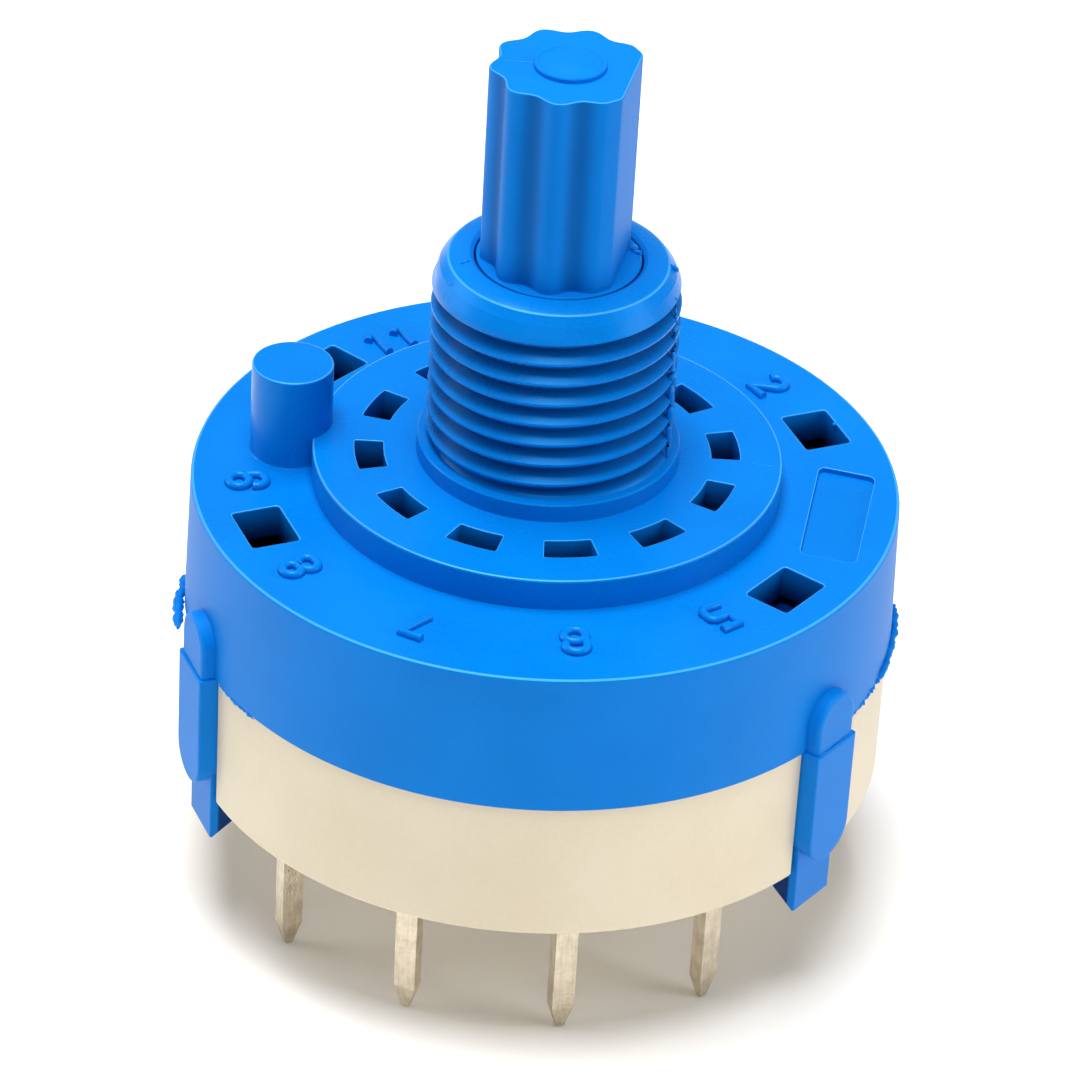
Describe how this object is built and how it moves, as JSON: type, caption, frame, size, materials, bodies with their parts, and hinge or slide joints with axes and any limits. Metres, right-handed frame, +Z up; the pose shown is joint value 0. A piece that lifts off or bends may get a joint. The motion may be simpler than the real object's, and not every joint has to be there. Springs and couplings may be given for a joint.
{
  "type": "rotary switch",
  "caption": "Round rotary switch with a threaded plastic bush, fluted D-shaft, locating peg, slotted dial and board pins.",
  "frame": {"origin": "on the shaft's axis, in the plane of the raised disc that the panel rests on", "axes": "+Z up the shaft, away from the pins; the locating peg stands on -X; -Y is the side of stations 6 and 7"},
  "size_m": [0.0262, 0.0262, 0.0342],
  "materials": {
    "cover_plastic": "moulded blue polyamide, satin",
    "rotor_plastic": "moulded blue acetal, satin",
    "base_plastic": "moulded cream plastic, smooth matt",
    "terminal_metal": "nickel-plated brass, stamped, dull",
    "contact_metal": "silver-plated bronze strip",
    "spring_steel": "bright spring steel"
  },
  "bodies": {
    "housing": {"cover": "cover_plastic", "base": "base_plastic", "terminal_11": "terminal_metal", "terminal_12": "terminal_metal", "terminal_1": "terminal_metal", "terminal_2": "terminal_metal", "terminal_5": "terminal_metal", "terminal_6": "terminal_metal", "terminal_7": "terminal_metal", "terminal_8": "terminal_metal", "common_a": "terminal_metal", "common_b": "terminal_metal"},
    "rotor": {"rotor": "rotor_plastic", "detent_spring_a": "spring_steel", "detent_spring_b": "spring_steel", "wiper_spring_a": "spring_steel", "wiper_spring_b": "spring_steel"},
    "detent_ball_a": {"detent_ball_a": "spring_steel"},
    "detent_ball_b": {"detent_ball_b": "spring_steel"},
    "wiper_a": {"wiper_a": "contact_metal"},
    "wiper_b": {"wiper_b": "contact_metal"}
  },
  "joints": [
    {"name": "rotor_turn", "type": "hinge", "parent": "housing", "child": "rotor", "pos_m": [0, 0, 0], "axis": [0, 0, 1], "range_deg": [-60, 30]},
    {"name": "detent_ball_a_slide", "type": "slide", "parent": "rotor", "child": "detent_ball_a", "axis": [0.9659, 0.2588, 0], "range_m": [0, 0.00033], "stiffness_N_per_m": 1000, "springref_m": 0.0023, "deforming": ["detent_spring_a"]},
    {"name": "detent_ball_b_slide", "type": "slide", "parent": "rotor", "child": "detent_ball_b", "axis": [-0.9659, -0.2588, 0], "range_m": [0, 0.00033], "stiffness_N_per_m": 1000, "springref_m": 0.0023, "deforming": ["detent_spring_b"]},
    {"name": "wiper_a_lift", "type": "slide", "parent": "rotor", "child": "wiper_a", "axis": [0, 0, 1], "range_m": [0, 0.0003], "stiffness_N_per_m": 700, "springref_m": -0.0012, "deforming": ["wiper_spring_a"]},
    {"name": "wiper_b_lift", "type": "slide", "parent": "rotor", "child": "wiper_b", "axis": [0, 0, 1], "range_m": [0, 0.0003], "stiffness_N_per_m": 700, "springref_m": -0.0012, "deforming": ["wiper_spring_b"]}
  ]
}
